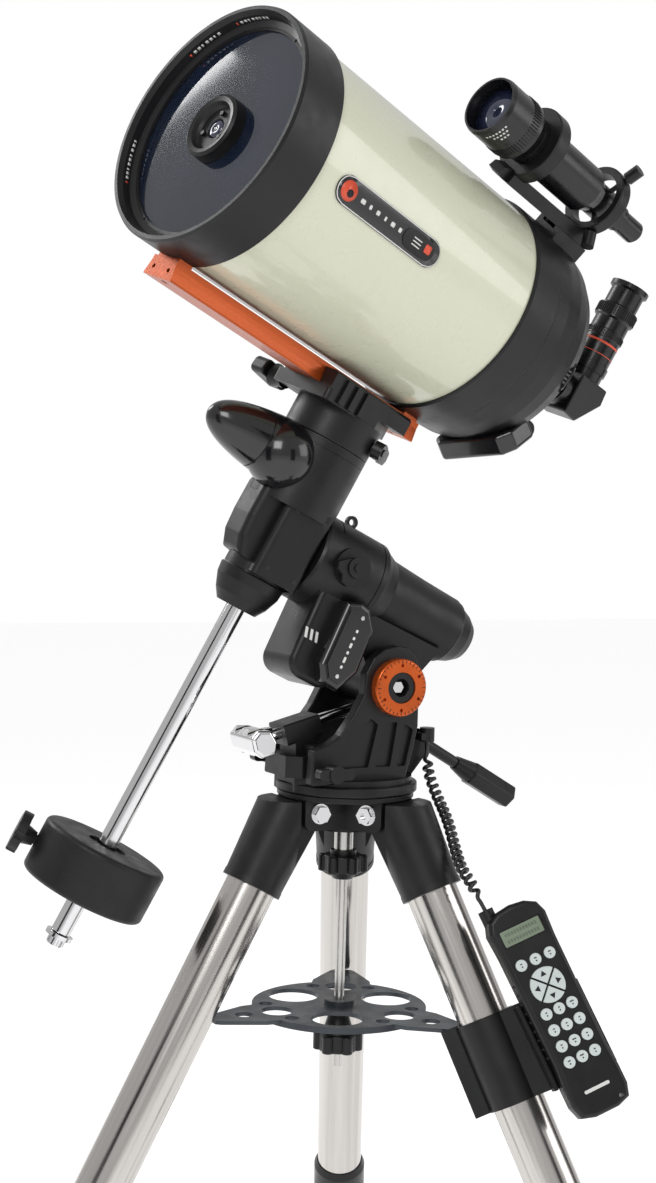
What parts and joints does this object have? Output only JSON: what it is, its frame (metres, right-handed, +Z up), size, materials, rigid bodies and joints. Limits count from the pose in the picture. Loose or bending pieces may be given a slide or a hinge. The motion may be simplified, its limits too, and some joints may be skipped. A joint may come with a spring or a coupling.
{
  "type": "schmidt-cassegrain telescope",
  "caption": "Cream reflecting telescope tube with finder and star diagonal on a German equatorial mount with counterweight, hand control and steel tripod.",
  "frame": {"origin": "on the floor under the tripod's vertical axis", "axes": "+Z up, +Y towards the celestial pole (north), +X east; the tube points up and towards +Y"},
  "size_m": [0.8297, 0.8282, 1.4741],
  "materials": {
    "black_cast": "satin black powder coat",
    "black_plastic": "moulded matt",
    "black_gloss": "gloss",
    "black_anodised": "satin black anodised",
    "tube_cream": "gloss enamel",
    "orange_anodised": "bright orange anodised",
    "polished_steel": "polished stainless",
    "bright_chrome": "polished",
    "cast_weight": "black textured coat",
    "foot_rubber": "polished stainless with a rubber foot",
    "tray_plate": "dark grey hammered coat",
    "lens_glass": "coated glass",
    "mirror_glass": "aluminised",
    "key_grey": "pale keys",
    "cord_black": "matt"
  },
  "bodies": {
    "tripod": {"tripod_hub": "black_cast", "leg_pivot_bolts": "polished_steel", "centre_rod": "polished_steel"},
    "tray": {"accessory_tray": "tray_plate"},
    "tray_nut": {"tray_knob": "black_plastic"},
    "mount_nut": {"mounting_knob": "black_plastic"},
    "fork": {"azimuth_base": "black_cast", "latitude_rings": "orange_anodised"},
    "azimuth_screw_west": {"azimuth_knob_west": "black_plastic"},
    "azimuth_screw_east": {"azimuth_knob_east": "black_plastic"},
    "latitude_screw_front": {"latitude_bolt_front": "bright_chrome"},
    "latitude_screw_rear": {"latitude_bolt_rear": "black_plastic"},
    "polar": {"ra_housing": "black_cast", "ra_motor_housing": "black_plastic", "motor_cover": "black_gloss", "polar_cap": "black_plastic"},
    "ra_lever": {"ra_clutch_lever": "black_plastic"},
    "declination": {"dec_housing": "black_cast", "dec_motor_pod": "black_gloss", "shaft_collar": "black_cast", "counterweight_shaft": "bright_chrome"},
    "weight": {"counterweight": "cast_weight"},
    "weight_knob": {"weight_lock_knob": "black_plastic"},
    "end_screw": {"safety_screw": "bright_chrome"},
    "saddle_head": {"saddle": "black_cast"},
    "jaw": {"saddle_jaw": "black_anodised"},
    "jaw_knob_front": {"saddle_knob_front": "black_plastic"},
    "jaw_knob_rear": {"saddle_knob_rear": "black_plastic"},
    "dec_lever": {"dec_clutch_lever": "black_plastic"},
    "tube": {"dovetail_bar": "orange_anodised", "front_cell": "black_cast", "corrector_plate": "lens_glass", "secondary_housing": "black_plastic", "optical_tube": "tube_cream", "rear_cell": "black_cast", "carry_handle": "black_plastic", "visual_back": "black_anodised", "finder_tube": "black_anodised", "finder_bracket": "black_cast", "finder_screws": "black_plastic"},
    "mirror": {"primary_mirror": "mirror_glass"},
    "focuser": {"focus_knob": "black_plastic"},
    "diagonal": {"star_diagonal": "black_anodised"},
    "ocular": {"eyepiece": "black_anodised"},
    "hand_control": {"handset": "black_plastic", "curly_cord": "cord_black"},
    "keys": {"keypad": "key_grey"},
    "leg_a": {"leg_socket_a": "black_cast", "upper_leg_a": "polished_steel", "leg_clamp_a": "black_plastic"},
    "shin_a": {"lower_leg_a": "foot_rubber"},
    "leg_b": {"leg_socket_b": "black_cast", "upper_leg_b": "polished_steel", "leg_clamp_b": "black_plastic", "handset_holder": "black_plastic"},
    "shin_b": {"lower_leg_b": "foot_rubber"},
    "leg_c": {"leg_socket_c": "black_cast", "upper_leg_c": "polished_steel", "leg_clamp_c": "black_plastic"},
    "shin_c": {"lower_leg_c": "foot_rubber"}
  },
  "joints": [
    {"name": "fold_b", "type": "hinge", "parent": "tripod", "child": "leg_b", "pos_m": [-0.0381, -0.022, 0.729], "axis": [0.5, -0.866, 0], "range_deg": [0, 13]},
    {"name": "fold_a", "type": "hinge", "parent": "tripod", "child": "leg_a", "pos_m": [0, 0.044, 0.729], "axis": [-1, 0, 0], "range_deg": [0, 13]},
    {"name": "fold_c", "type": "hinge", "parent": "tripod", "child": "leg_c", "pos_m": [0.0381, -0.022, 0.729], "axis": [0.5, 0.866, 0], "range_deg": [0, 13]},
    {"name": "extend_a", "type": "slide", "parent": "leg_a", "child": "shin_a", "axis": [0, 0.4726, -0.8813], "range_m": [0, 0.42]},
    {"name": "extend_b", "type": "slide", "parent": "leg_b", "child": "shin_b", "axis": [-0.4092, -0.2363, -0.8813], "range_m": [0, 0.42]},
    {"name": "extend_c", "type": "slide", "parent": "leg_c", "child": "shin_c", "axis": [0.4092, -0.2363, -0.8813], "range_m": [0, 0.42]},
    {"name": "tray_drop", "type": "slide", "parent": "tripod", "child": "tray", "axis": [0, 0, -1], "range_m": [0, 0.206]},
    {"name": "tray_nut_turn", "type": "hinge", "parent": "tray", "child": "tray_nut", "pos_m": [0, 0, 0.5], "axis": [0, 0, 1], "continuous": true},
    {"name": "mount_nut_turn", "type": "hinge", "parent": "tripod", "child": "mount_nut", "pos_m": [0, 0, 0.672], "axis": [0, 0, 1], "continuous": true},
    {"name": "azimuth", "type": "hinge", "parent": "tripod", "child": "fork", "pos_m": [0, 0, 0.75], "axis": [0, 0, 1], "range_deg": [-10, 10]},
    {"name": "azimuth_screw_west_feed", "type": "slide", "parent": "fork", "child": "azimuth_screw_west", "axis": [1, 0, 0], "range_m": [-0.009, 0.009]},
    {"name": "azimuth_screw_east_feed", "type": "slide", "parent": "fork", "child": "azimuth_screw_east", "axis": [1, 0, 0], "range_m": [-0.009, 0.009]},
    {"name": "latitude", "type": "hinge", "parent": "fork", "child": "polar", "pos_m": [0, -0.026, 0.8545], "axis": [1, 0, 0], "range_deg": [-6, 45]},
    {"name": "latitude_feed_front", "type": "slide", "parent": "fork", "child": "latitude_screw_front", "axis": [0, -0.9659, 0.2588], "range_m": [-0.0252, 0.0034]},
    {"name": "latitude_feed_rear", "type": "slide", "parent": "fork", "child": "latitude_screw_rear", "axis": [0, 0.866, 0.5], "range_m": [-0.0045, 0.0336]},
    {"name": "right_ascension", "type": "hinge", "parent": "polar", "child": "declination", "pos_m": [0, 0.088, 0.999], "axis": [0, 0.9026, 0.4305], "range_deg": [-90, 90]},
    {"name": "ra_lock", "type": "hinge", "parent": "polar", "child": "ra_lever", "pos_m": [0, 0.02576, 0.97153], "axis": [1, 0, 0], "range_deg": [0, 60]},
    {"name": "declination", "type": "hinge", "parent": "declination", "child": "saddle_head", "pos_m": [0, 0.088, 0.999], "axis": [-0.1564, -0.4252, 0.8915], "continuous": true},
    {"name": "weight_slide", "type": "slide", "parent": "declination", "child": "weight", "axis": [-0.1564, -0.4252, 0.8915], "range_m": [-0.03, 0.135]},
    {"name": "weight_knob_turn", "type": "hinge", "parent": "weight", "child": "weight_knob", "pos_m": [0.05757, 0.24448, 0.67094], "axis": [0.3378, 0.8251, 0.4528], "continuous": true},
    {"name": "end_screw_turn", "type": "hinge", "parent": "declination", "child": "end_screw", "pos_m": [0.06883, 0.27509, 0.60675], "axis": [-0.1564, -0.4252, 0.8915], "continuous": true},
    {"name": "jaw_slide", "type": "slide", "parent": "saddle_head", "child": "jaw", "axis": [0.954, 0.1686, 0.2478], "range_m": [0, 0.003]},
    {"name": "jaw_knob_front_turn", "type": "hinge", "parent": "saddle_head", "child": "jaw_knob_front", "pos_m": [0.01426, 0.07522, 1.15458], "axis": [0.954, 0.1686, 0.2478], "range_deg": [0, 720]},
    {"name": "jaw_knob_rear_turn", "type": "hinge", "parent": "saddle_head", "child": "jaw_knob_rear", "pos_m": [0.03522, 0.0023, 1.12348], "axis": [0.954, 0.1686, 0.2478], "range_deg": [0, 720]},
    {"name": "dec_lock", "type": "hinge", "parent": "saddle_head", "child": "dec_lever", "pos_m": [-0.04755, 0.00744, 1.08796], "axis": [-0.6362, -0.647, -0.4202], "range_deg": [0, 40]},
    {"name": "tube_slide", "type": "slide", "parent": "saddle_head", "child": "tube", "axis": [-0.2556, 0.8893, 0.3793], "range_m": [-0.05, 0.05]},
    {"name": "mirror_shift", "type": "slide", "parent": "tube", "child": "mirror", "axis": [-0.2556, 0.8893, 0.3793], "range_m": [-0.006, 0.006]},
    {"name": "focus_turn", "type": "hinge", "parent": "tube", "child": "focuser", "pos_m": [-0.0244, -0.17683, 1.11569], "axis": [-0.2556, 0.8893, 0.3793], "range_deg": [-2880, 2880]},
    {"name": "diagonal_turn", "type": "hinge", "parent": "tube", "child": "diagonal", "pos_m": [0.02448, -0.27634, 1.15257], "axis": [-0.2556, 0.8893, 0.3793], "continuous": true},
    {"name": "eyepiece_slide", "type": "slide", "parent": "diagonal", "child": "ocular", "axis": [-0.1564, -0.4252, 0.8915], "range_m": [0, 0.045]},
    {"name": "hand_control_lift", "type": "slide", "parent": "leg_b", "child": "hand_control", "axis": [0.4292, 0.2774, 0.8596], "range_m": [0, 0.1], "deforming": ["curly_cord"]},
    {"name": "key_press", "type": "slide", "parent": "hand_control", "child": "keys", "axis": [0.8717, -0.3762, -0.3139], "range_m": [0, 0.0008], "stiffness_N_per_m": 900, "springref_m": -0.0002}
  ],
  "couplings": [
    {"joint": "fold_a", "follows": "fold_b", "ratio": 1},
    {"joint": "fold_c", "follows": "fold_b", "ratio": 1},
    {"joint": "tray_drop", "follows": "fold_b", "m_per_rad": 0.90351},
    {"joint": "azimuth_screw_west_feed", "follows": "azimuth", "m_per_rad": 0.051},
    {"joint": "azimuth_screw_east_feed", "follows": "azimuth", "m_per_rad": 0.051},
    {"joint": "latitude_feed_front", "follows": "latitude", "m_per_rad": -0.032},
    {"joint": "latitude_feed_rear", "follows": "latitude", "m_per_rad": 0.04275},
    {"joint": "jaw_knob_front_turn", "follows": "jaw_slide", "rad_per_m": 4188.8},
    {"joint": "jaw_knob_rear_turn", "follows": "jaw_slide", "rad_per_m": 4188.8},
    {"joint": "focus_turn", "follows": "mirror_shift", "rad_per_m": 8377.6}
  ]
}
